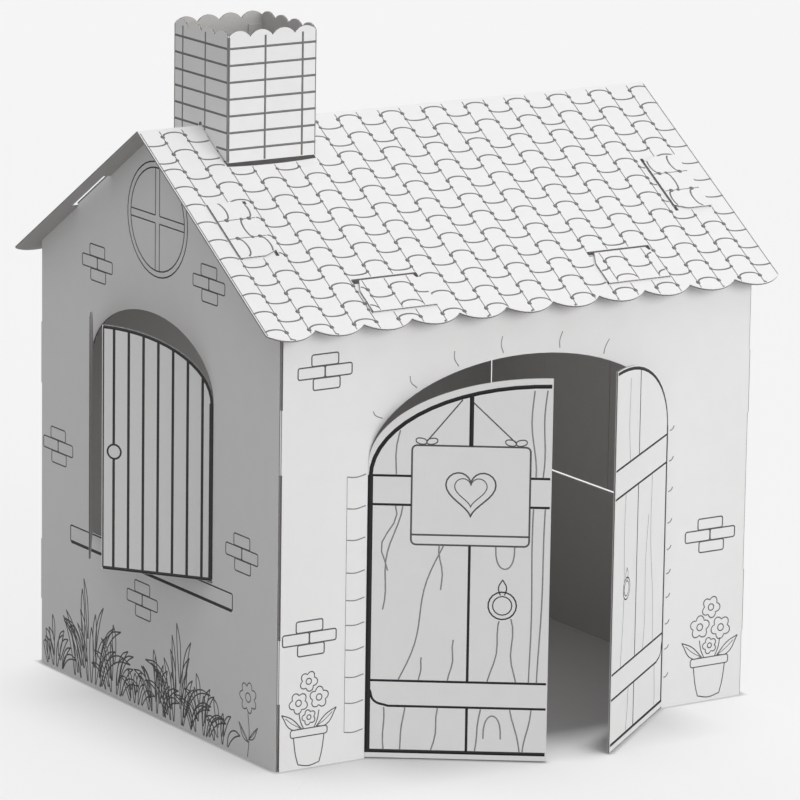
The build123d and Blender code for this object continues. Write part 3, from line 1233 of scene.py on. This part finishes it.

# %% [markdown]
# The house stands on a plain pale floor. To the camera the floor outside glows a little, so that it
# reads as an even studio white. Ambient occlusion holds the glow back as painted shade in two ways:
# softly in front of the walls, and in a thin dark line of painted contact shadow where they touch the
# floor. The floor indoors has no glow, only the light that reaches it. Between the door leaves and close
# behind the right one the glow is taken away too, as painted shade in front of the doorway and a painted
# shadow of the right leaf. To all other rays the floor is a mid grey, which keeps its bounce on the
# walls soft.

# %% Floor
wall_blend, leaf_edge = 10.0, 5.0
threshold_blend, doorway_blend = 150.0, 90.0
shade_blend, leaf_blend = 200.0, 90.0
shade_strength = 0.7
shade_reach, contact_reach, leaf_reach = 0.2, 0.01, 0.15
floor_mesh = bpy.data.meshes.new("studio_floor")
floor = bpy.data.objects.new("studio_floor", floor_mesh)
bpy.context.scene.collection.objects.link(floor)

sheet = bmesh.new()
bmesh.ops.create_grid(sheet, x_segments=1, y_segments=1, size=60.0)
sheet.to_mesh(floor_mesh)
sheet.free()
print("floor:", len(floor_mesh.polygons), "face")

# %% Where the floor is shaded
floor_paper = bpy.data.materials.new("studio_paper")
wiring = Wiring(floor_paper)


def clamped(value):
    return wiring.node("Clamp", {}, {0: value})


def open_sky(reach):
    """How much of the sky a point sees, past what stands within reach of it."""
    return wiring.node("AmbientOcclusion", {"samples": 8}, {"Distance": reach}, "AO")


place = wiring.node("TexCoord", {}, {}, "Object")
x, y = (wiring.node("SeparateXYZ", {}, {0: place}, axis) / mm for axis in "XY")
from_wall = wiring.node("Math", {"operation": "MINIMUM"}, {0: half_width - abs(x), 1: half_depth - abs(y)})
inside = clamped(from_wall / wall_blend + 1)
# Painted shade on the floor in front of the doorway: a strip along the front wall about as wide as the
# door.
near_wall = clamped(1.15 - abs(y + half_depth) / threshold_blend)
doorway_painted_shade = near_wall * clamped((door_half - abs(x)) / doorway_blend + 0.4)
# Painted shadow of the right door leaf: a band on the floor close behind it and along its length, which
# ambient occlusion keeps to where the leaf stands.
crease, away, face = leaf_stand("right_door")
behind = (crease.x - x) * face.x + (crease.y - y) * face.y
from_crease = (x - crease.x) * away.x + (y - crease.y) * away.y
beside_leaf = clamped(from_crease / leaf_blend) * clamped(1 - (from_crease - door_half) / leaf_blend)
leaf_stands = clamped(3 - 3 * open_sky(leaf_reach))
close_behind = clamped(1.3 - behind / leaf_blend) * clamped(behind / leaf_edge + 1)
leaf_painted_shadow = close_behind * beside_leaf * leaf_stands
# No glow indoors, where only real light shows, and none in the painted shade at the doorway and behind the
# right leaf.
indoors_and_painted_shade = inside.either(doorway_painted_shade).either(leaf_painted_shadow)
# Painted shade from ambient occlusion: a soft darkening of the glow in front of the walls, and a thin
# painted contact shadow where they meet the floor.
in_front = clamped((half_depth - y) / shade_blend) * clamped((half_width - x) / (4 * shade_blend))
soft_shade = (1 - open_sky(shade_reach)) * in_front * shade_strength
contact = clamped(2 * open_sky(contact_reach) - 1)

# %% Floor finish
seen = wiring.node("LightPath", {}, {}, "Is Camera Ray")
mottle = wiring.noise(place, 40.0)
under_camera = wiring.mix(indoors_and_painted_shade, grey(0.22), grey(0.66))
to_others = wiring.mix(mottle, grey(0.36), grey(0.38))
shader = wiring.tree.nodes["Principled BSDF"]
shader.inputs["Roughness"].default_value = 0.8
shader.inputs["Specular IOR Level"].default_value = 0.1
shader.inputs["Emission Strength"].default_value = 0.68
glow = seen * (1 - soft_shade) * contact * (1 - indoors_and_painted_shade)
wiring.feed(shader.inputs["Base Color"], wiring.mix(seen, to_others, under_camera))
wiring.feed(shader.inputs["Emission Color"], wiring.mix(glow, grey(0.0), grey(1.0)))
floor_mesh.materials.append(floor_paper)
print("floor nodes:", len(wiring.tree.nodes))

# %% [markdown]
# The light is that of a soft studio: a broad lamp and a softbox from the front right, weak lamps from
# above and from behind, and a pale room all round. A small lamp indoors stands for the light that a
# real studio sends in through every opening. The room is white only to the camera and to reflections.

# %% Lamps
def soft_sun(name, azimuth, elevation, level, spread):
    """A broad lamp; level is how bright a white sheet facing it becomes."""
    lamp = bpy.data.lights.new(name, "SUN")
    lamp.energy = level * pi
    lamp.angle = radians(spread)
    holder = bpy.data.objects.new(name, lamp)
    turn, lift = radians(azimuth), radians(elevation)
    holder.rotation_euler = (pi / 2 - lift, 0, turn)
    bpy.context.scene.collection.objects.link(holder)


def near_lamp(name, kind, place, power, size):
    """A lamp at a place, in metres and watts, turned to the house."""
    lamp = bpy.data.lights.new(name, kind)
    lamp.energy = power
    if kind == "AREA":
        lamp.size = size
    else:
        lamp.shadow_soft_size = size
    holder = bpy.data.objects.new(name, lamp)
    holder.location = place
    holder.rotation_euler = (-Vector(place)).to_track_quat("-Z", "Y").to_euler()
    bpy.context.scene.collection.objects.link(holder)


soft_sun("front_lamp", 14, 15, 0.375, 40)
soft_sun("top_lamp", 0, 80, 0.20, 60)
soft_sun("back_lamp", 150, 30, 0.22, 50)
near_lamp("softbox", "AREA", (1.3, -2.2, 1.5), 6.5, 1.0)
near_lamp("room_lamp", "POINT", (0, 0, 0.45), 0.78, 0.25)
print("lamps:", [lamp.name for lamp in bpy.data.lights])

# %% The room
room_light, room_white = 0.45, 0.89
room = bpy.data.worlds.new("studio")
bpy.context.scene.world = room
wiring = Wiring(room)
rays = [wiring.node("LightPath", {}, {}, f"Is {kind} Ray") for kind in ("Camera", "Glossy", "Transmission")]
shown = rays[0].either(rays[1]).either(rays[2])
background = wiring.tree.nodes["Background"]
background.inputs["Color"].default_value = grey(1.0)
wiring.feed(background.inputs["Strength"], room_light + shown * (room_white - room_light))
print("room light:", room_light, "and to the camera", room_white)

# %% [markdown]
# The camera stands where the photograph was taken: to the front left and a little above, far away with
# a long lens, and turned by less than a degree.

# %% Camera
azimuth, elevation, roll = radians(-33.08), radians(12.95), radians(0.86)
distance = 9.0
lens = 261.13
aim = Vector((0, 0, 0.45))
sideways, lift = 11.59 * mm, -3.28 * mm

back_axis = Vector((sin(azimuth) * cos(elevation), -cos(azimuth) * cos(elevation), sin(elevation)))
level_axis = Vector((cos(azimuth), sin(azimuth), 0))
side_axis = cos(roll) * level_axis + sin(roll) * back_axis.cross(level_axis)
top_axis = back_axis.cross(side_axis)
camera = bpy.data.objects.new("camera", bpy.data.cameras.new("camera"))
camera.data.lens = lens
camera.data.sensor_width = 36.0
camera.data.clip_end = 200.0
turn = Matrix((side_axis, top_axis, back_axis)).transposed().to_4x4()
stand = aim + back_axis * distance + side_axis * sideways + top_axis * lift
camera.matrix_world = Matrix.Translation(stand) @ turn
bpy.context.scene.collection.objects.link(camera)
bpy.context.scene.camera = camera
bpy.context.scene.view_settings.view_transform = "Standard"
print("camera at", [round(part, 3) for part in stand])
